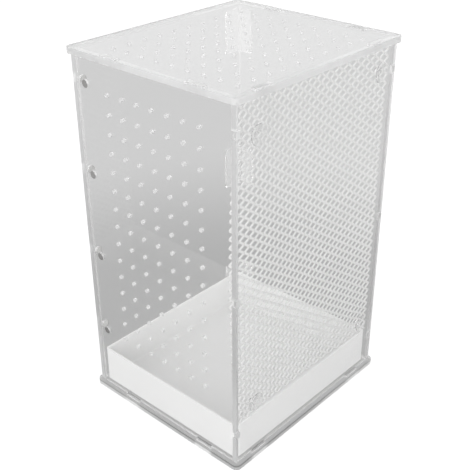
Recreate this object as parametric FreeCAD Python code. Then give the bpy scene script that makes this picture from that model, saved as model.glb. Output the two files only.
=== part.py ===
import FreeCAD, Part
import math
import os

# Box: outside of the walls, in millimetres
BODY_W = 200.0
BODY_D = 226.0
WALL_H = 368.5
WALL_T = 5.0

# Base and lid plates
PLATE_T = 6.0
PLATE_OVERHANG = 4.0
PLATE_CORNER_R = 5.5

# Film of glue or air between faces that meet
TOUCH_GAP = 0.05

# Tenons that pass through the plates, and fingers that pass through the right panel
TENON_LEN = 20.0
TENON_SPREAD_X = 52.5
TENON_SPREAD_Y = 80.0
FINGER_H = 7.0
FINGER_LOW_INSET = 33.5
FINGER_TOP_INSET = 26.5
SLOT_GAP = 0.1

# Ventilation holes
VENT_D = 4.0
FRONT_VENT_PITCH = 18.95
FRONT_VENT_COLS = 7
FRONT_VENT_ROWS = 15
FRONT_VENT_TOP_INSET = 30.3
FRONT_VENT_SHIFT = -1.2
LID_VENT_COLS = 9
LID_VENT_ROWS = 10
LID_VENT_LEFT_INSET = 32.7
LID_VENT_RIGHT_INSET = 18.0
LID_VENT_FRONT_INSET = 22.3
LID_VENT_BACK_INSET = 31.5

# Door gaps
DOOR_SIDE_GAP = 1.0
DOOR_END_GAP = 0.75
DOOR_BACK_GAP = 0.5

# Magnets
MAGNET_D = 8.0
MAGNET_T = 4.0
MAGNET_CHAMFER = 0.4
MAGNET_EDGE = 10.0
MAGNET_COUNT = 4
MAGNET_PITCH = 90.6
MAGNET_TOP_INSET = 25.7
MAGNET_GAP = 0.03

# Hinges
HINGE_H = 46.0
HINGE_END_INSET = 6.0
HINGE_REACH = 23.0
LEAF_T = 2.5
KNUCKLE_R = 2.5
KNUCKLE_CLEAR = 0.4
KNUCKLE_END_GAP = 0.3
PIN_R = 1.2
PIN_SEAT = 1.0
PIN_FIXED_GAP = 0.02
PIN_RUNNING_GAP = 0.05

# Tray
TRAY_H = 41.0
TRAY_T = 2.0
TRAY_GAP = 2.0
TRAY_DOOR_GAP = 0.4
TRAY_CORNER_R = 3.0
TRAY_FOOT_R = 1.5
TRAY_FLOOR_R = 2.8

# Net, with its diamonds counted across and up
NET_T = 1.6
NET_STRAND = 2.0
NET_COLS = 9
NET_ROWS = 18
NET_FRONT_GAP = 3.0
NET_BACK_GAP = 2.0
NET_TOP_GAP = 5.0
NET_LOW_GAP = 2.0

# Suction cups
CUP_R = 10.0
CUP_LIP = 0.6
CUP_RECESS_R = 8.6
CUP_RECESS = 1.0
CUP_SHOULDER_H = 2.2
CUP_STEM_R = 3.4
CUP_STEM_H = 3.0
CUP_NECK_R = 1.9
CUP_NECK_H = 2.0
CUP_HEAD_R = 3.6
CUP_HEAD_H = 2.8

# Planes that follow from the sizes above
HALF_W = BODY_W / 2
HALF_D = BODY_D / 2
IN_X = HALF_W - WALL_T
IN_Y = HALF_D - WALL_T
WALL_Z0 = PLATE_T
WALL_Z1 = PLATE_T + WALL_H
WALL_MID = (WALL_Z0 + WALL_Z1) / 2
WALL_FOOT = WALL_Z0 + TOUCH_GAP
WALL_HEAD = WALL_Z1 - TOUCH_GAP
LID_TOP = WALL_Z1 + PLATE_T
PANEL_LEFT = DOOR_SIDE_GAP - IN_X
PANEL_RIGHT = IN_X - TOUCH_GAP
PANEL_MID = (PANEL_LEFT + HALF_W) / 2
FRONT_VENT_MID = PANEL_MID + FRONT_VENT_SHIFT
TENON_XS = (PANEL_MID - TENON_SPREAD_X, PANEL_MID + TENON_SPREAD_X)
TENON_YS = (-TENON_SPREAD_Y, TENON_SPREAD_Y)
FINGER_ZS = (WALL_Z0 + FINGER_LOW_INSET, WALL_MID, WALL_Z1 - FINGER_TOP_INSET)
LID_VENT_X = LID_VENT_LEFT_INSET - HALF_W
LID_VENT_Y = LID_VENT_FRONT_INSET - HALF_D
LID_VENT_PITCH_X = (BODY_W - LID_VENT_LEFT_INSET - LID_VENT_RIGHT_INSET) / (LID_VENT_COLS - 1)
LID_VENT_PITCH_Y = (BODY_D - LID_VENT_FRONT_INSET - LID_VENT_BACK_INSET) / (LID_VENT_ROWS - 1)
MAGNET_X = PANEL_LEFT + MAGNET_EDGE
MAGNET_Y = MAGNET_EDGE - HALF_D
HINGE_X = -HALF_W - LEAF_T
HINGE_Y = HALF_D + LEAF_T
HINGE_ZS = {
    "low": WALL_Z0 + HINGE_END_INSET + HINGE_H / 2,
    "middle": WALL_MID,
    "top": WALL_Z1 - HINGE_END_INSET - HINGE_H / 2,
}
TRAY_LEFT = TRAY_DOOR_GAP - IN_X
TRAY_RIGHT = IN_X - TRAY_GAP
TRAY_Y = IN_Y - TRAY_GAP
TRAY_FOOT = WALL_Z0 + TOUCH_GAP
TRAY_RIM = WALL_Z0 + TRAY_H
CUP_SEAT = IN_X - TOUCH_GAP

# Net lattice: half diamonds, and the gap left inside the strands
NET_Y0 = NET_FRONT_GAP - IN_Y
NET_Y1 = IN_Y - NET_BACK_GAP
NET_MID = (NET_Y0 + NET_Y1) / 2
NET_HALF_W = (NET_Y1 - NET_Y0) / 2
NET_Z0 = TRAY_RIM + NET_LOW_GAP
NET_Z1 = WALL_Z1 - NET_TOP_GAP
CELL_Y = NET_HALF_W / NET_COLS
CELL_Z = (NET_Z1 - NET_Z0) / (2 * NET_ROWS)
GAP_SCALE = 1 - NET_STRAND / 2 * math.hypot(CELL_Y, CELL_Z) / (CELL_Y * CELL_Z)
GAP_Y = CELL_Y * GAP_SCALE
GAP_Z = CELL_Z * GAP_SCALE

# The necks of the cups touch the upper or lower corner of a gap, so they hold the net
NECK_OFFSET = GAP_Z - CUP_NECK_R / math.sin(math.atan2(CELL_Y, CELL_Z))
CUP_FRONT_Y = NET_Y0 + 2 * CELL_Y
CUP_BACK_Y = NET_Y1 - CELL_Y
CUP_FRONT_LOW_Z = NET_Z0 + 2 * CELL_Z - NECK_OFFSET
CUP_FRONT_TOP_Z = NET_Z1 - 4 * CELL_Z + NECK_OFFSET
CUP_BACK_LOW_Z = NET_Z0 + CELL_Z + NECK_OFFSET
CUP_BACK_TOP_Z = NET_Z1 - 3 * CELL_Z + NECK_OFFSET
NET_FACE_X = CUP_SEAT - CUP_STEM_H

X_DIR = FreeCAD.Vector(1, 0, 0)
Y_DIR = FreeCAD.Vector(0, 1, 0)
Z_DIR = FreeCAD.Vector(0, 0, 1)


def point(x, y, z):
    return FreeCAD.Vector(x, y, z)


def box(x0, x1, y0, y1, z0, z1):
    return Part.makeBox(x1 - x0, y1 - y0, z1 - z0, point(x0, y0, z0))


def rounded_box(x0, x1, half_y, z0, z1, radius):
    solid = box(x0, x1, -half_y, half_y, z0, z1)
    upright = [e for e in solid.Edges if abs(e.Vertexes[0].Z - e.Vertexes[1].Z) > radius]
    return solid.makeFillet(radius, upright)


def save(shape, name):
    shape.exportStep("parts/" + name + ".step")


def joined(first, others):
    return first.multiFuse(others).removeSplitter()


def plate(z0):
    half_x = HALF_W + PLATE_OVERHANG
    half_y = HALF_D + PLATE_OVERHANG
    solid = rounded_box(-half_x, half_x, half_y, z0, z0 + PLATE_T, PLATE_CORNER_R)
    return solid.cut(Part.makeCompound(plate_slots(z0)))


def plate_slots(z0):
    slots = []
    half = TENON_LEN / 2 + SLOT_GAP
    for x in TENON_XS:
        slots.append(box(x - half, x + half, -HALF_D - SLOT_GAP, SLOT_GAP - IN_Y, z0, z0 + PLATE_T))
        slots.append(box(x - half, x + half, IN_Y - SLOT_GAP, HALF_D + SLOT_GAP, z0, z0 + PLATE_T))
    for y in TENON_YS:
        slots.append(box(IN_X - SLOT_GAP, HALF_W + SLOT_GAP, y - half, y + half, z0, z0 + PLATE_T))
    return slots


def base_plate():
    return plate(0)


def lid_plate():
    vents = []
    for col in range(LID_VENT_COLS):
        x = LID_VENT_X + col * LID_VENT_PITCH_X
        for row in range(LID_VENT_ROWS):
            y = LID_VENT_Y + row * LID_VENT_PITCH_Y
            vents.append(Part.makeCylinder(VENT_D / 2, PLATE_T, point(x, y, WALL_Z1), Z_DIR))
    return plate(WALL_Z1).cut(Part.makeCompound(vents))


def panel(y0, y1):
    solid = box(PANEL_LEFT, PANEL_RIGHT, y0, y1, WALL_FOOT, WALL_HEAD)
    extras = []
    for z in FINGER_ZS:
        extras.append(box(PANEL_RIGHT, HALF_W, y0, y1, z - FINGER_H / 2, z + FINGER_H / 2))
    for x in TENON_XS:
        extras.append(box(x - TENON_LEN / 2, x + TENON_LEN / 2, y0, y1, 0, WALL_FOOT))
        extras.append(box(x - TENON_LEN / 2, x + TENON_LEN / 2, y0, y1, WALL_HEAD, LID_TOP))
    return joined(solid, extras)


def magnet_zs():
    return [WALL_Z1 - MAGNET_TOP_INSET - i * MAGNET_PITCH for i in range(MAGNET_COUNT)]


def front_panel():
    holes = []
    for col in range(FRONT_VENT_COLS):
        x = FRONT_VENT_MID + (col - (FRONT_VENT_COLS - 1) / 2) * FRONT_VENT_PITCH
        for row in range(FRONT_VENT_ROWS):
            z = WALL_Z1 - FRONT_VENT_TOP_INSET - row * FRONT_VENT_PITCH
            holes.append(Part.makeCylinder(VENT_D / 2, WALL_T, point(x, -HALF_D, z), Y_DIR))
    for z in magnet_zs():
        holes.append(magnet_pocket(point(MAGNET_X, -HALF_D, z), Y_DIR))
    return panel(-HALF_D, -IN_Y).cut(Part.makeCompound(holes))


def back_panel():
    return panel(IN_Y, HALF_D)


def right_panel():
    solid = box(IN_X, HALF_W, -HALF_D, HALF_D, WALL_FOOT, WALL_HEAD)
    extras = []
    for y in TENON_YS:
        extras.append(box(IN_X, HALF_W, y - TENON_LEN / 2, y + TENON_LEN / 2, 0, WALL_FOOT))
        extras.append(box(IN_X, HALF_W, y - TENON_LEN / 2, y + TENON_LEN / 2, WALL_HEAD, LID_TOP))
    notches = []
    half = FINGER_H / 2 + SLOT_GAP
    for z in FINGER_ZS:
        notches.append(box(IN_X, HALF_W, -HALF_D, SLOT_GAP - IN_Y, z - half, z + half))
        notches.append(box(IN_X, HALF_W, IN_Y - SLOT_GAP, HALF_D, z - half, z + half))
    return joined(solid, extras).cut(Part.makeCompound(notches))


def side_door():
    z0 = WALL_Z0 + DOOR_END_GAP
    z1 = WALL_Z1 - DOOR_END_GAP
    solid = box(-HALF_W, -IN_X, -HALF_D, HALF_D - DOOR_BACK_GAP, z0, z1)
    pockets = []
    for z in magnet_zs():
        pockets.append(magnet_pocket(point(-IN_X, MAGNET_Y, z), -X_DIR))
    return solid.cut(Part.makeCompound(pockets))


def magnet_pocket(mouth, inward):
    return Part.makeCylinder(MAGNET_D / 2 + MAGNET_GAP, MAGNET_T + TOUCH_GAP, mouth, inward)


def magnet(mouth, inward):
    disc = Part.makeCylinder(MAGNET_D / 2, MAGNET_T, mouth, inward)
    return disc.makeChamfer(MAGNET_CHAMFER, [edge for edge in disc.Edges if edge.Closed])


def front_magnet(z):
    return magnet(point(MAGNET_X, -HALF_D, z), Y_DIR)


def door_magnet(z):
    return magnet(point(-IN_X, MAGNET_Y, z), -X_DIR)


def knuckle(z0, z1):
    return Part.makeCylinder(KNUCKLE_R, z1 - z0, point(HINGE_X, HINGE_Y, z0), Z_DIR)


def pin_hole(z0, z1, gap):
    return Part.makeCylinder(PIN_R + gap, z1 - z0, point(HINGE_X, HINGE_Y, z0), Z_DIR)


def hinge_frame_leaf(z):
    z0 = z - HINGE_H / 2
    z1 = z + HINGE_H / 2
    low_end = z - HINGE_H / 6 - KNUCKLE_END_GAP / 2
    top_end = z + HINGE_H / 6 + KNUCKLE_END_GAP / 2
    root = HINGE_X + KNUCKLE_R + KNUCKLE_CLEAR
    seat = HALF_D + TOUCH_GAP
    leaf = box(root, HINGE_X + HINGE_REACH, seat, HINGE_Y, z0, z1)
    low_web = box(HINGE_X, root, seat, HINGE_Y, z0, low_end)
    top_web = box(HINGE_X, root, seat, HINGE_Y, top_end, z1)
    solid = joined(leaf, [low_web, top_web, knuckle(z0, low_end), knuckle(top_end, z1)])
    return solid.cut(pin_hole(z0 + PIN_SEAT, z1, PIN_FIXED_GAP))


def hinge_door_leaf(z):
    z0 = z - HINGE_H / 2
    z1 = z + HINGE_H / 2
    low_end = z - HINGE_H / 6 + KNUCKLE_END_GAP / 2
    top_end = z + HINGE_H / 6 - KNUCKLE_END_GAP / 2
    root = HINGE_Y - KNUCKLE_R - KNUCKLE_CLEAR
    seat = -HALF_W - TOUCH_GAP
    leaf = box(HINGE_X, seat, HINGE_Y - HINGE_REACH, root, z0, z1)
    web = box(HINGE_X, seat, root, HINGE_Y, low_end, top_end)
    solid = joined(leaf, [web, knuckle(low_end, top_end)])
    return solid.cut(pin_hole(low_end, top_end, PIN_RUNNING_GAP))


def hinge_pin(z):
    return pin_hole(z - HINGE_H / 2 + PIN_SEAT, z + HINGE_H / 2, 0)


def tray():
    outer = tray_form(0, TRAY_FOOT_R)
    inner = tray_form(TRAY_T, TRAY_FLOOR_R)
    return outer.cut(inner)


def tray_form(inset, bottom_r):
    z0 = TRAY_FOOT + inset
    x0 = TRAY_LEFT + inset
    x1 = TRAY_RIGHT - inset
    solid = rounded_box(x0, x1, TRAY_Y - inset, z0, TRAY_RIM, TRAY_CORNER_R)
    bottom = [e for e in solid.Edges if e.BoundBox.ZMax < z0 + bottom_r]
    return solid.makeFillet(bottom_r, bottom)


def net_outline():
    corners = []
    for row in range(NET_ROWS):
        z = NET_Z0 + 2 * row * CELL_Z
        corners.append((NET_HALF_W, z + GAP_Z))
        corners.append((NET_HALF_W, z + 2 * CELL_Z - GAP_Z))
        if row < NET_ROWS - 1:
            corners.append((NET_HALF_W - GAP_Y, z + 2 * CELL_Z))
    for col in range(NET_COLS):
        y = NET_HALF_W - 2 * col * CELL_Y
        corners.append((y - GAP_Y, NET_Z1))
        corners.append((y - 2 * CELL_Y + GAP_Y, NET_Z1))
        if col < NET_COLS - 1:
            corners.append((y - 2 * CELL_Y, NET_Z1 - GAP_Z))
    turned = [(-y, NET_Z0 + NET_Z1 - z) for y, z in corners]
    return net_wire(corners + turned)


def net_wire(corners):
    points = [point(NET_FACE_X, NET_MID + y, z) for y, z in corners]
    return Part.makePolygon(points + points[:1])


def diamond(y, z):
    return net_wire([(y + GAP_Y, z), (y, z + GAP_Z), (y - GAP_Y, z), (y, z - GAP_Z)])


def climbing_net():
    wires = [net_outline()]
    for col in range(1, 2 * NET_COLS):
        for row in range(1, 2 * NET_ROWS):
            if col % 2 == row % 2:
                wires.append(diamond(col * CELL_Y - NET_HALF_W, NET_Z0 + row * CELL_Z))
    face = Part.makeFace(wires, "Part::FaceMakerCheese")
    return face.extrude(X_DIR * -NET_T)


def suction_cup(y, z):
    neck_top = CUP_STEM_H + CUP_NECK_H
    head_top = neck_top + CUP_HEAD_H
    profile = [
        (0, CUP_RECESS),
        (CUP_RECESS_R, 0),
        (CUP_R, 0),
        (CUP_R, CUP_LIP),
        (CUP_STEM_R, CUP_SHOULDER_H),
        (CUP_STEM_R, CUP_STEM_H),
        (CUP_NECK_R, CUP_STEM_H),
        (CUP_NECK_R, neck_top),
        (CUP_HEAD_R, neck_top),
        (CUP_HEAD_R, neck_top + CUP_HEAD_H / 3),
        (CUP_NECK_R, head_top),
        (0, head_top),
    ]
    points = [point(CUP_SEAT - d, y + r, z) for r, d in profile]
    face = Part.Face(Part.makePolygon(points + points[:1]))
    return face.revolve(point(CUP_SEAT, y, z), X_DIR, 360)


os.makedirs("parts", exist_ok=True)
save(base_plate(), "base_plate")
save(lid_plate(), "lid_plate")
save(front_panel(), "front_panel")
save(right_panel(), "right_panel")
save(back_panel(), "back_panel")
save(side_door(), "side_door")
save(tray(), "tray")
save(climbing_net(), "climbing_net")
save(suction_cup(CUP_FRONT_Y, CUP_FRONT_TOP_Z), "suction_cup_front_top")
save(suction_cup(CUP_BACK_Y, CUP_BACK_TOP_Z), "suction_cup_back_top")
save(suction_cup(CUP_FRONT_Y, CUP_FRONT_LOW_Z), "suction_cup_front_low")
save(suction_cup(CUP_BACK_Y, CUP_BACK_LOW_Z), "suction_cup_back_low")
for number, height in enumerate(magnet_zs(), 1):
    save(front_magnet(height), "front_magnet_" + str(number))
    save(door_magnet(height), "door_magnet_" + str(number))
for place, height in HINGE_ZS.items():
    save(hinge_frame_leaf(height), "hinge_frame_leaf_" + place)
    save(hinge_door_leaf(height), "hinge_door_leaf_" + place)
    save(hinge_pin(height), "hinge_pin_" + place)
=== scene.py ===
import bpy
import numpy as np
from mathutils import Matrix, Vector


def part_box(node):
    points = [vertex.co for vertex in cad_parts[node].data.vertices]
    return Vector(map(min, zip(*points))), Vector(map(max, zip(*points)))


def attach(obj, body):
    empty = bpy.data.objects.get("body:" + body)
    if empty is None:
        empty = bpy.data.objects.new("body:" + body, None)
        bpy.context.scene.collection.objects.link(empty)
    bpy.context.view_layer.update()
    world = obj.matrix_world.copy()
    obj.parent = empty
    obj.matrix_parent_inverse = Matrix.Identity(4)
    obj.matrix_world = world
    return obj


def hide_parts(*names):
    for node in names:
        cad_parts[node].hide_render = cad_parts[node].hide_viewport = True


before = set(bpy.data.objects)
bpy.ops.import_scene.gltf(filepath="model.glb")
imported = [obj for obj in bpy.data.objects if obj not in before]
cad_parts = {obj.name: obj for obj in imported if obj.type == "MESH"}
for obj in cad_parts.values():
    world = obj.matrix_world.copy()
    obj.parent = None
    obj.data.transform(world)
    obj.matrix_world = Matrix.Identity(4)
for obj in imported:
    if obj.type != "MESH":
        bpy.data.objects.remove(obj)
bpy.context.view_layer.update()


# Clear sheets: base, lid, three fixed panels and the door.
# Cast acrylic, 5 and 6 mm thick and cut by laser, so the faces are polished and the
# cut edges and the walls of the vent holes are frosted. The fingers are glued.

class Value:
    """A socket in a node tree. An operator on it adds one Math node and gives its result."""

    # Colour sockets of the Mix node
    MIX_LOW, MIX_HIGH, MIX_RESULT = 6, 7, 2

    def __init__(self, tree, socket=None):
        self.tree = tree
        self.socket = socket

    def node(self, kind, inputs=None, output=0, **settings):
        """Adds a node: its settings first, then the values or links of its sockets."""
        made = self.tree.nodes.new(kind)
        for name, value in settings.items():
            setattr(made, name, value)
        for name, value in (inputs or {}).items():
            if isinstance(value, Value):
                self.tree.links.new(value.socket, made.inputs[name])
            else:
                made.inputs[name].default_value = value
        return Value(self.tree, made.outputs[output] if made.outputs else None)

    def math(self, operation, first, second):
        return self.node("ShaderNodeMath", {0: first, 1: second}, operation=operation)

    def __add__(self, other):
        return self.math("ADD", self, other)

    __radd__ = __add__

    def __sub__(self, other):
        return self.math("SUBTRACT", self, other)

    def __rsub__(self, other):
        return self.math("SUBTRACT", other, self)

    def __mul__(self, other):
        return self.math("MULTIPLY", self, other)

    __rmul__ = __mul__

    def __pow__(self, other):
        return self.math("POWER", self, other)

    def over(self, edge):
        """1 above the edge and 0 below it."""
        return self.math("GREATER_THAN", self, edge)

    def rise(self, low, high):
        """0 up to low, 1 from high on, and a smooth step between them."""
        return self.node("ShaderNodeMapRange", {
            "Value": self, "From Min": low, "From Max": high}, interpolation_type="SMOOTHSTEP")

    def mix(self, low, high):
        """A colour that goes from low to high as this value goes from 0 to 1."""
        return self.node("ShaderNodeMix", {
            0: self, self.MIX_LOW: low, self.MIX_HIGH: high}, self.MIX_RESULT, data_type="RGBA")


PLAIN_DETAIL = 2.0
RICH_DETAIL = 3.0


def new_finish(name):
    """An empty material and the start of its node tree."""
    material = bpy.data.materials.new(name)
    material.use_nodes = True
    material.node_tree.nodes.clear()
    return material, Value(material.node_tree)


def own_place(start):
    """The shaded point in the piece's own coordinates."""
    return start.node("ShaderNodeTexCoord", None, "Object")


def clouds(start, scale, detail=PLAIN_DETAIL):
    """Soft noise between 0 and 1 that keeps its place on the piece."""
    return start.node("ShaderNodeTexNoise", {
        "Vector": own_place(start), "Scale": scale, "Detail": detail})


def principled(start, inputs):
    """Ends a finish with one Principled shader."""
    shader = start.node("ShaderNodeBsdfPrincipled", inputs)
    start.node("ShaderNodeOutputMaterial", {"Surface": shader})


def give(node, *finishes):
    """Puts finishes in the material slots of a CAD node, in this order."""
    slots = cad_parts[node].data.materials
    slots.clear()
    for finish in finishes:
        slots.append(finish)


def let_light_through(piece):
    """Soft light passes a clear piece unbent, so what is behind it stays evenly lit."""
    piece.visible_shadow = False
    piece.visible_diffuse = False


ACRYLIC_IOR = 1.49
FACE_TINT = (0.97, 0.97, 0.97, 1.0)
FACE_ROUGHNESS = 0.01
SMUDGE_TINT = (0.955, 0.955, 0.955, 1.0)
SMUDGE_ROUGHNESS = 0.05
SMUDGE_SCALE = 22.0
SMUDGE_POWER = 4.0
FROST_WHITE = (0.9, 0.9, 0.9, 1.0)
FROST_SHADE = (0.84, 0.84, 0.84, 1.0)
FROST_ROUGHNESS = 0.36
LINE_ROUGHNESS = 0.2
LASER_LINES = 700.0
# The front vents' walls are a greyer copy of the frosted cut: painted shade inside the holes
FRONT_VENT_PAINTED_SHADE_PALE = (0.89, 0.89, 0.89, 1.0)
FRONT_VENT_PAINTED_SHADE_DARK = (0.76, 0.76, 0.76, 1.0)
# Share of the light that goes straight through each kind of cut
FRONT_VENT_CLEAR = 0.34
LID_VENT_CLEAR = 0.55
LID_EDGE_CLEAR = 0.74
WALL_EDGE_CLEAR = 0.38
BASE_EDGE_CLEAR = 0.5
# Above this height the base's edge is painted dark grey: painted shade for the dark seen under
# the plate
BASE_PAINTED_SHADE_Z = 0.0038
BASE_EDGE_PAINTED_SHADE = (0.42, 0.42, 0.42, 1.0)
# Painted shade on the walls' edges: full grey up to the low height, fading out by the top one
WALL_EDGE_LOW_PAINTED_SHADE = (0.63, 0.63, 0.63, 1.0)
PAINTED_SHADE_FULL_BELOW_Z = 0.1
PAINTED_SHADE_GONE_ABOVE_Z = 0.38
# A cut this far inside the outline is a vent's wall
VENT_INSET = 0.016
# A face is a cut where its normal has less than this along the sheet's thickness
CUT_NORMAL = 0.7
# The axis of a sheet's thickness, by its index
X, Y, Z = range(3)


def polished_finish(name):
    """Polished face: clear, with faint smudges that vary its gloss."""
    material, start = new_finish(name)
    smudge = clouds(start, SMUDGE_SCALE, RICH_DETAIL) ** SMUDGE_POWER
    principled(start, {
        "Base Color": smudge.mix(FACE_TINT, SMUDGE_TINT),
        "Roughness": FACE_ROUGHNESS + SMUDGE_ROUGHNESS * smudge,
        "IOR": ACRYLIC_IOR,
        "Transmission Weight": 1.0,
    })
    return material


def frosted_finish(name, clear_share, shade=FROST_SHADE, white=FROST_WHITE,
                   painted_shade_above=None, shaded_low=False):
    """Cut edge: partly clear and partly milky, with the fine lines that the laser leaves.
    Above a given height the edge is painted a dark grey, a painted shade for the dark seen under
    the plate. With painted shade low down, the edge is greyer towards the bottom, painted where
    less light reaches."""
    material, start = new_finish(name)
    height = start.node("ShaderNodeSeparateXYZ", {0: own_place(start)}, "Z")
    lines = clouds(start, LASER_LINES)
    milk = lines.mix(shade, white)
    # Painted shade: above the given height the edge is a dark grey, for the dark under the plate
    if painted_shade_above is not None:
        milk = height.over(painted_shade_above).mix(milk, BASE_EDGE_PAINTED_SHADE)
    # Painted shade: the edge is greyer towards the bottom, where less light reaches
    if shaded_low:
        milk = height.rise(PAINTED_SHADE_FULL_BELOW_Z, PAINTED_SHADE_GONE_ABOVE_Z).mix(WALL_EDGE_LOW_PAINTED_SHADE, milk)
    principled(start, {
        "Base Color": milk,
        "Roughness": FROST_ROUGHNESS + LINE_ROUGHNESS * lines,
        "IOR": ACRYLIC_IOR,
        "Transmission Weight": clear_share,
    })
    return material


polished_face = polished_finish("polished_face")
# Painted shade: the front vents get the greyer copy of the frosted cut
front_vent = frosted_finish("front_vent", FRONT_VENT_CLEAR, FRONT_VENT_PAINTED_SHADE_DARK, FRONT_VENT_PAINTED_SHADE_PALE)
lid_vent = frosted_finish("lid_vent", LID_VENT_CLEAR)
lid_edge = frosted_finish("lid_edge", LID_EDGE_CLEAR)
# The walls' edges carry painted shade low down
wall_edge = frosted_finish("wall_edge", WALL_EDGE_CLEAR, shaded_low=True)
# The base's edge carries painted shade above a set height
base_edge = frosted_finish("base_edge", BASE_EDGE_CLEAR, painted_shade_above=BASE_PAINTED_SHADE_Z)


def dress_sheet(node, across, edge, vent):
    """Gives a sheet its finishes: a face that looks along the sheet's thickness axis is polished,
    and any other is a cut edge, or a vent wall where it lies well inside the outline."""
    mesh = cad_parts[node].data
    normals = np.empty(len(mesh.polygons) * 3)
    mesh.polygons.foreach_get("normal", normals)
    centres = np.empty(len(mesh.polygons) * 3)
    mesh.polygons.foreach_get("center", centres)
    centres = np.delete(centres.reshape(-1, 3), across, 1)
    low, high = (np.delete(np.array(corner), across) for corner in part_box(node))
    within = np.all((centres > low + VENT_INSET) & (centres < high - VENT_INSET), axis=1)
    cut = np.abs(normals.reshape(-1, 3)[:, across]) < CUT_NORMAL
    give(node, polished_face, edge, vent)
    mesh.polygons.foreach_set("material_index", np.where(cut, 1 + within, 0))
    let_light_through(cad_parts[node])


dress_sheet("base_plate", Z, base_edge, base_edge)
dress_sheet("lid_plate", Z, lid_edge, lid_vent)
dress_sheet("front_panel", Y, wall_edge, front_vent)
dress_sheet("back_panel", Y, wall_edge, wall_edge)
dress_sheet("right_panel", X, wall_edge, wall_edge)
dress_sheet("side_door", X, wall_edge, wall_edge)


# Tray: a shallow open box of white plastic that stands on the base plate.
# Smooth and slightly satin, with the faint unevenness of formed sheet, and thin
# enough to let a little light through.

TRAY_WHITE = (0.875, 0.875, 0.87, 1.0)
TRAY_SHADE = (0.835, 0.835, 0.83, 1.0)
TRAY_CLOUD_SCALE = 14.0
TRAY_ROUGHNESS = 0.34
TRAY_ROUGHNESS_SPREAD = 0.12
TRAY_GRAIN_SCALE = 900.0
TRAY_GRAIN = 0.05
TRAY_GLOW = 0.4
TRAY_GLOW_REACH = 0.006
EVEN_RADIUS = (1.0, 1.0, 1.0)
GRAIN_DEPTH = 0.0002


def grain(start, scale, strength):
    """The fine skin of moulded plastic, as a bump."""
    return start.node("ShaderNodeBump", {
        "Strength": strength, "Distance": GRAIN_DEPTH, "Height": clouds(start, scale)})


tray_finish, start = new_finish("white_tray")
cloud = clouds(start, TRAY_CLOUD_SCALE)
principled(start, {
    "Base Color": cloud.mix(TRAY_SHADE, TRAY_WHITE),
    "Roughness": TRAY_ROUGHNESS + TRAY_ROUGHNESS_SPREAD * cloud,
    "Subsurface Weight": TRAY_GLOW,
    "Subsurface Scale": TRAY_GLOW_REACH,
    "Subsurface Radius": EVEN_RADIUS,
    "Normal": grain(start, TRAY_GRAIN_SCALE, TRAY_GRAIN),
})
give("tray", tray_finish)


# Climbing net: white moulded diamond net, cut straight along its edges and still
# curled from the roll. It is held on the necks of the suction cups: its edges lean
# on the right panel and its middle bows off it, most of all near the top.

NET_COLS = 17
NET_ROWS = 37
STRAND_HALF_WIDTH = 0.0012
STRAND_HALF_DEPTH = 0.00062
STRAND_SIDES = 8
STRAND_STATIONS = (0.0, 0.3, 0.7, 1.0)
KNOT_SWELL = 1.15
EDGE_LEAN = 0.0021
TOP_BOW = 0.0084
LOW_BOW = 0.003
EDGE_SPRING = 0.0068
SPRING_REACH = 0.045
CUP_PULL_REACH = 0.016
CUP_NODES = (
    "suction_cup_front_top", "suction_cup_back_top",
    "suction_cup_front_low", "suction_cup_back_low")
NET_WHITE = (0.83, 0.83, 0.825, 1.0)
NET_SHADE = (0.76, 0.76, 0.755, 1.0)
NET_CLOUD_SCALE = 60.0
NET_ROUGHNESS = 0.42
NET_ROUGHNESS_SPREAD = 0.15
NET_GRAIN_SCALE = 1500.0
NET_GRAIN = 0.12


def net_strands(low, half_cell):
    """Ends of the strand pieces of a diamond net. With u along y and v along z counted in half
    cells from the low corner, strands run to (u + 1, v + 1) and to (u + 1, v - 1) from each
    crossing (u, v), where u + v is even. Gaps lie where it is odd."""
    u, v = np.meshgrid(np.arange(2 * NET_COLS), np.arange(2 * NET_ROWS + 1), indexing="ij")
    crossing = (u + v) % 2 == 0
    rising = crossing & (v < 2 * NET_ROWS)
    falling = crossing & (v > 0)
    first = np.concatenate([np.stack([u[some], v[some]], 1) for some in (rising, falling)])
    step = np.repeat([(1, 1), (1, -1)], [rising.sum(), falling.sum()], axis=0)
    return low + first * half_cell, low + (first + step) * half_cell


def ring_quads(rings, sides):
    """Quads between rings of points, each from (ring, i) over (ring, i + 1) and
    (ring + 1, i + 1) to (ring + 1, i)."""
    ring, around = np.meshgrid(np.arange(rings - 1), np.arange(sides), indexing="ij")
    after = (around + 1) % sides
    here, there = ring * sides, (ring + 1) * sides
    quads = np.stack([here + around, here + after, there + after, there + around], -1)
    return quads.reshape(-1, 4)


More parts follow.
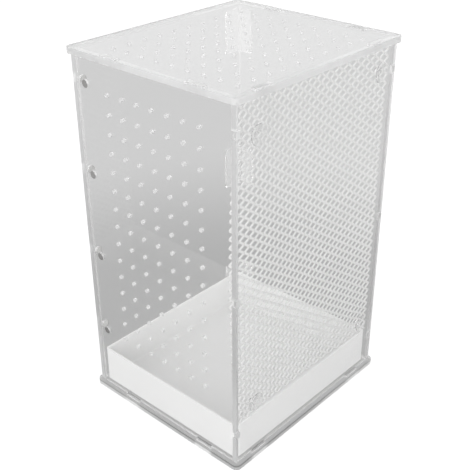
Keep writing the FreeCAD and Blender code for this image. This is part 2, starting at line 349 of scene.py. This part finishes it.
def strand_tubes(start_yz, end_yz, x):
    """Closed tubes: along each strand the section is an ellipse whose size falls from the knot
    swell at both ends to 1 in the middle, as 1 + (swell - 1) * (2 t - 1) ** 2."""
    t = np.array(STRAND_STATIONS)
    turn = np.arange(STRAND_SIDES) * 2 * np.pi / STRAND_SIDES
    swell = 1 + (KNOT_SWELL - 1) * (2 * t - 1) ** 2
    run = end_yz - start_yz
    side = np.stack([-run[:, 1], run[:, 0]], 1) / np.linalg.norm(run, axis=1)[:, None]
    middle = start_yz[:, None, :] + t[None, :, None] * run[:, None, :]
    out = swell[:, None] * np.cos(turn)[None, :] * STRAND_HALF_WIDTH
    deep = swell[:, None] * np.sin(turn)[None, :] * STRAND_HALF_DEPTH
    points = np.empty((len(run), len(t), STRAND_SIDES, 3))
    points[..., 0] = x - deep[None]
    points[..., 1:] = middle[:, :, None, :] + out[None, :, :, None] * side[:, None, None, :]
    count = len(t) * STRAND_SIDES
    first = np.arange(len(run))[:, None] * count
    quads = (first[:, :, None] + ring_quads(len(t), STRAND_SIDES)).reshape(-1, 4)
    cap = np.arange(STRAND_SIDES)
    caps = np.concatenate([first + cap[::-1], first + cap + count - STRAND_SIDES])
    return points.reshape(-1, 3), quads.tolist() + caps.tolist()


def curled(points, low, high):
    """Bends the flat net: across it a parabola, from the lean at the edges to the bow in the
    middle, which grows with the height as a smooth step. The front edge also springs off the
    wall by s ** 2 * sin(pi h), with s from 1 at the edge to 0 at the reach."""
    across = 2 * (points[:, 1] - low[1]) / (high[1] - low[1]) - 1
    h = (points[:, 2] - low[2]) / (high[2] - low[2])
    deep = LOW_BOW + (TOP_BOW - LOW_BOW) * h ** 2 * (3 - 2 * h)
    spring = np.clip(1 - (points[:, 1] - low[1]) / SPRING_REACH, 0, 1) ** 2 * np.sin(np.pi * h)
    moved = points.copy()
    moved[:, 0] += EDGE_LEAN - deep * (1 - across ** 2) - EDGE_SPRING * spring
    return moved


def pulled_onto(points, gap, neck):
    """Draws the net to a cup: the points near the gap move with it, fading with their distance r
    from it as exp(-(r / reach) ** 2)."""
    near = np.exp(-((np.linalg.norm(points - gap, axis=1) / CUP_PULL_REACH) ** 2))
    return points + near[:, None] * (neck - gap)


def middle_yz(node):
    """Middle of a CAD node's box, seen along X."""
    low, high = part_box(node)
    return (low.y + high.y) / 2, (low.z + high.z) / 2


def new_piece(name, points, faces, finish):
    """A smooth mesh object at the origin."""
    mesh = bpy.data.meshes.new(name)
    mesh.from_pydata(points, [], faces)
    mesh.polygons.foreach_set("use_smooth", np.ones(len(faces), bool))
    mesh.materials.append(finish)
    piece = bpy.data.objects.new(name, mesh)
    bpy.context.scene.collection.objects.link(piece)
    return piece


net_finish, start = new_finish("white_net")
cloud = clouds(start, NET_CLOUD_SCALE, RICH_DETAIL)
principled(start, {
    "Base Color": cloud.mix(NET_SHADE, NET_WHITE),
    "Roughness": NET_ROUGHNESS + NET_ROUGHNESS_SPREAD * cloud,
    "Normal": grain(start, NET_GRAIN_SCALE, NET_GRAIN),
})
net_low, net_high = (np.array(corner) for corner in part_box("climbing_net"))
net_x = (net_low[0] + net_high[0]) / 2
half_cell = (net_high[1:] - net_low[1:]) / (2 * np.array([NET_COLS, NET_ROWS]))
net_points, net_faces = strand_tubes(*net_strands(net_low[1:], half_cell), net_x)
net_points[:, 1:] = np.clip(net_points[:, 1:], net_low[1:], net_high[1:])
net_points = curled(net_points, net_low, net_high)
for cup_node in CUP_NODES:
    # The net's gap that is nearest to the cup's neck
    neck = np.array([net_x, *middle_yz(cup_node)])
    u, v = np.floor((neck[1:] - net_low[1:]) / half_cell)
    around = np.array([(u, v), (u + 1, v), (u, v + 1), (u + 1, v + 1)])
    gaps = around[around.sum(axis=1) % 2 == 1] * half_cell + net_low[1:]
    gap = gaps[np.argmin(np.linalg.norm(gaps - neck[1:], axis=1))]
    flat_gap = np.array([[net_x, *gap]])
    net_points = pulled_onto(net_points, curled(flat_gap, net_low, net_high)[0], neck)
net = new_piece("net_strands", net_points, net_faces, net_finish)
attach(net, "enclosure")
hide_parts("climbing_net")


# Suction cups: soft clear vinyl, moulded in one piece. The cup grips the
# panel, and the net's gap sits on the neck behind the mushroom head.

CUP_TURNS = 40
CUP_SOFTENINGS = 2
CORNER_CUT = 0.25
MM_PER_METRE = 1000
# Radius and height off the panel of the profile's corners, in millimetres, from the hollow
# under the cup over the lip, stem, neck and head to the tip
CUP_CORNERS = np.array([
    (0.0, 1.0), (5.0, 0.8), (9.0, -0.05), (10.2, 0.2), (9.6, 0.8), (5.4, 1.4), (3.4, 2.3),
    (3.4, 3.0), (1.9, 3.0), (1.9, 5.0), (3.6, 5.0), (3.7, 6.0), (2.8, 7.8), (0.0, 7.8),
]) / MM_PER_METRE
VINYL_IOR = 1.25
VINYL_CLEAR = 0.93
VINYL_TINT = (0.97, 0.97, 0.97, 1.0)
VINYL_CLOUD = (0.93, 0.93, 0.93, 1.0)
VINYL_CLOUD_SCALE = 120.0
VINYL_ROUGHNESS = 0.2
VINYL_ROUGHNESS_SPREAD = 0.12


def softened(corners, times):
    """Rounds a line by cutting its corners: each stretch gives way to the points at a quarter
    and three quarters of it, and the two ends stay."""
    for _ in range(times):
        near = (1 - CORNER_CUT) * corners[:-1] + CORNER_CUT * corners[1:]
        far = CORNER_CUT * corners[:-1] + (1 - CORNER_CUT) * corners[1:]
        cut = np.stack([near, far], 1).reshape(-1, 2)
        corners = np.concatenate([corners[:1], cut[1:-1], corners[-1:]])
    return corners


def turned_about_x(profile, wall_x, y, z):
    """A profile turned about a line along -X: (wall - height, y + r cos a, z + r sin a)."""
    angle = np.arange(CUP_TURNS) * 2 * np.pi / CUP_TURNS
    radius, height = profile[1:-1].T[:, :, None]
    points = np.empty((len(radius), CUP_TURNS, 3))
    points[..., 0] = wall_x - height
    points[..., 1] = y + radius * np.cos(angle)
    points[..., 2] = z + radius * np.sin(angle)
    poles = [(wall_x - profile[0, 1], y, z), (wall_x - profile[-1, 1], y, z)]
    # The rings run toward -X, so each quad is turned over to look outward
    quads = ring_quads(len(radius), CUP_TURNS)[:, [0, 3, 2, 1]]
    count = len(radius) * CUP_TURNS
    last = count - CUP_TURNS
    step = np.arange(CUP_TURNS)
    after = np.roll(step, -1)
    under = np.stack([np.full(CUP_TURNS, count), step, after], 1)
    tip = np.stack([np.full(CUP_TURNS, count + 1), after + last, step + last], 1)
    faces = quads.tolist() + under.tolist() + tip.tolist()
    return np.concatenate([points.reshape(-1, 3), poles]), faces


cup_finish, start = new_finish("clear_vinyl")
cloud = clouds(start, VINYL_CLOUD_SCALE)
principled(start, {
    "Base Color": cloud.mix(VINYL_CLOUD, VINYL_TINT),
    "Roughness": VINYL_ROUGHNESS + VINYL_ROUGHNESS_SPREAD * cloud,
    "IOR": VINYL_IOR,
    "Transmission Weight": VINYL_CLEAR,
})
cup_profile = softened(CUP_CORNERS, CUP_SOFTENINGS)
for cup_node in CUP_NODES:
    _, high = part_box(cup_node)
    cup_points, cup_faces = turned_about_x(cup_profile, high.x, *middle_yz(cup_node))
    cup = new_piece(cup_node + "_vinyl", cup_points, cup_faces, cup_finish)
    let_light_through(cup)
    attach(cup, "enclosure")
    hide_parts(cup_node)


# Magnets: nickel plated discs glued in pockets, four in the front panel's left
# end and four in the door, level with each other.

MAGNETS_PER_SIDE = 4
# The one nickel is painted darker in the front panel, as painted shade, and paler in the door, as
# painted light
FRONT_NICKEL_PAINTED_SHADE_DARK = (0.42, 0.415, 0.41, 1.0)
FRONT_NICKEL_PAINTED_SHADE_PALE = (0.56, 0.555, 0.545, 1.0)
FRONT_NICKEL_ROUGHNESS = 0.16
DOOR_NICKEL_PAINTED_LIGHT_DARK = (0.8, 0.795, 0.785, 1.0)
DOOR_NICKEL_PAINTED_LIGHT_PALE = (0.9, 0.895, 0.885, 1.0)
DOOR_NICKEL_ROUGHNESS = 0.34
NICKEL_ROUGHNESS_SPREAD = 0.14
NICKEL_CLOUD_SCALE = 400.0


def nickel_finish(name, dark, pale, roughness):
    """Plated metal whose tone and gloss vary a little in fine clouds."""
    material, start = new_finish(name)
    cloud = clouds(start, NICKEL_CLOUD_SCALE, RICH_DETAIL)
    principled(start, {
        "Base Color": cloud.mix(dark, pale),
        "Metallic": 1.0,
        "Roughness": roughness + NICKEL_ROUGHNESS_SPREAD * cloud,
    })
    return material


# Painted shade on the front magnets and painted light on the door magnets
front_nickel_painted_shade = nickel_finish(
    "front_nickel_painted_shade", FRONT_NICKEL_PAINTED_SHADE_DARK, FRONT_NICKEL_PAINTED_SHADE_PALE, FRONT_NICKEL_ROUGHNESS)
door_nickel_painted_light = nickel_finish(
    "door_nickel_painted_light", DOOR_NICKEL_PAINTED_LIGHT_DARK, DOOR_NICKEL_PAINTED_LIGHT_PALE, DOOR_NICKEL_ROUGHNESS)
for number in range(1, MAGNETS_PER_SIDE + 1):
    give(f"front_magnet_{number}", front_nickel_painted_shade)
    give(f"door_magnet_{number}", door_nickel_painted_light)


# Hinges: three clear moulded butt hinges, glued to the door's and the back
# panel's outer faces, each turning on a clear plastic pin.

HINGE_TINT = (0.97, 0.97, 0.97, 1.0)
HINGE_CLOUD = (0.93, 0.93, 0.93, 1.0)
HINGE_CLOUD_SCALE = 90.0
HINGE_ROUGHNESS = 0.05
HINGE_ROUGHNESS_SPREAD = 0.08
HINGE_CLEAR = 0.78

hinge_finish, start = new_finish("clear_hinge")
cloud = clouds(start, HINGE_CLOUD_SCALE)
principled(start, {
    "Base Color": cloud.mix(HINGE_CLOUD, HINGE_TINT),
    "Roughness": HINGE_ROUGHNESS + HINGE_ROUGHNESS_SPREAD * cloud,
    "IOR": ACRYLIC_IOR,
    "Transmission Weight": HINGE_CLEAR,
})
for level_name in ("low", "middle", "top"):
    for hinge_part in ("frame_leaf", "door_leaf", "pin"):
        hinge_node = f"hinge_{hinge_part}_{level_name}"
        give(hinge_node, hinge_finish)
        let_light_through(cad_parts[hinge_node])


# Stage: a plain pale floor under an even white dome. Seen straight, both are
# white. Seen through the clear sheets they are pale grey, lighter far away.

FLOOR_HALF = 6.0
FLOOR_DROP = 0.0003
FLOOR_ALBEDO = (0.8, 0.8, 0.8, 1.0)
FLOOR_LIFT = 0.28
NEAR_GREY = 0.45
FAR_GREY = 0.66
NEAR_REACH = 0.22
FAR_REACH = 0.64
SCATTERED_ONCE = 0.5
DOME_COLOUR = (1.0, 1.0, 1.0, 1.0)
DOME_LIGHT = 0.92
SEEN_WHITE = 1.0
HORIZON_SEEN = 0.62
OVERHEAD_SEEN = 1.12
OVERHEAD_RISE = 0.35
KEY_FROM = Vector((0.45, -0.83, 0.33))
KEY_STRENGTH = 1.0
KEY_SPREAD = 0.8


def ray_gates(start):
    """1 on camera rays, and 1 on rays that came only through clear or shiny pieces."""
    camera_ray, through, shiny, scatterings = (
        start.node("ShaderNodeLightPath", None, output)
        for output in ("Is Camera Ray", "Is Transmission Ray", "Is Glossy Ray", "Diffuse Depth"))
    unscattered = 1.0 - scatterings.over(SCATTERED_ONCE)
    return camera_ray, start.math("MAXIMUM", through, shiny) * unscattered


floor_finish, start = new_finish("pale_floor")
camera_ray, clear_ray = ray_gates(start)
distance = start.node("ShaderNodeVectorMath", {0: own_place(start)}, "Value", operation="LENGTH")
grey = NEAR_GREY + distance.rise(NEAR_REACH, FAR_REACH) * (FAR_GREY - NEAR_GREY)
lit = start.node("ShaderNodeBsdfDiffuse", {"Color": FLOOR_ALBEDO})
lift = start.node("ShaderNodeEmission", {"Strength": camera_ray * FLOOR_LIFT})
seen = start.node("ShaderNodeAddShader", {0: lit, 1: lift})
behind = start.node("ShaderNodeEmission", {"Strength": grey})
either = start.node("ShaderNodeMixShader", {0: clear_ray, 1: seen, 2: behind})
start.node("ShaderNodeOutputMaterial", {"Surface": either})
corners = np.array([(-1, -1, 0), (1, -1, 0), (1, 1, 0), (-1, 1, 0)]) * FLOOR_HALF
floor = new_piece("floor", corners - [0, 0, FLOOR_DROP], [(0, 1, 2, 3)], floor_finish)

scene = bpy.context.scene
world = bpy.data.worlds.new("white_dome")
scene.world = world
world.use_nodes = True
world.node_tree.nodes.clear()
start = Value(world.node_tree)
camera_ray, clear_ray = ray_gates(start)
heading = start.node("ShaderNodeTexCoord", None, "Generated")
height = start.node("ShaderNodeSeparateXYZ", {0: heading}, "Z")
seen = HORIZON_SEEN + height.rise(0.0, OVERHEAD_RISE) * (OVERHEAD_SEEN - HORIZON_SEEN)
level = DOME_LIGHT + camera_ray * (SEEN_WHITE - DOME_LIGHT) + clear_ray * (seen - DOME_LIGHT)
dome = start.node("ShaderNodeBackground", {"Color": DOME_COLOUR, "Strength": level})
start.node("ShaderNodeOutputWorld", {"Surface": dome})

key_data = bpy.data.lights.new("key", "SUN")
key_data.energy = KEY_STRENGTH
key_data.angle = KEY_SPREAD
key = bpy.data.objects.new("key", key_data)
key.rotation_euler = KEY_FROM.to_track_quat("Z", "Y").to_euler()
scene.collection.objects.link(key)


# Camera: at the photograph's place, above the front right corner. Its place,
# aim, roll and lens are fitted to the edges of the plates and walls.

CAMERA_PLACE = Vector((0.5089, -0.5678, 0.5986))
CAMERA_AIM = Vector((0.0, 0.0, 0.1743))
CAMERA_ROLL = -0.00068
FOCAL_PIXELS = 844.17
CENTRE_PIXEL = (237.3, 237.16)
FRAME_PIXELS = 470
SENSOR_WIDTH = 36.0
CLIP_START = 0.01
# Light passes many clear sheets in a row
CLEAR_BOUNCES = 32
SHINY_BOUNCES = 16

camera_data = bpy.data.cameras.new("camera")
camera_data.sensor_width = SENSOR_WIDTH
camera_data.lens = FOCAL_PIXELS / FRAME_PIXELS * SENSOR_WIDTH
camera_data.shift_x = 0.5 - CENTRE_PIXEL[0] / FRAME_PIXELS
camera_data.shift_y = CENTRE_PIXEL[1] / FRAME_PIXELS - 0.5
camera_data.clip_start = CLIP_START
camera = bpy.data.objects.new("camera", camera_data)
scene.collection.objects.link(camera)
ahead = (CAMERA_AIM - CAMERA_PLACE).normalized()
level_right = ahead.cross(Vector((0, 0, 1))).normalized()
right = Matrix.Rotation(-CAMERA_ROLL, 3, ahead) @ level_right
up = right.cross(ahead)
facing = Matrix((right, up, -ahead)).transposed().to_4x4()
camera.matrix_world = Matrix.Translation(CAMERA_PLACE) @ facing
scene.camera = camera

scene.cycles.max_bounces = CLEAR_BOUNCES
scene.cycles.transmission_bounces = CLEAR_BOUNCES
scene.cycles.transparent_max_bounces = CLEAR_BOUNCES
scene.cycles.glossy_bounces = SHINY_BOUNCES
scene.view_settings.view_transform = "Standard"
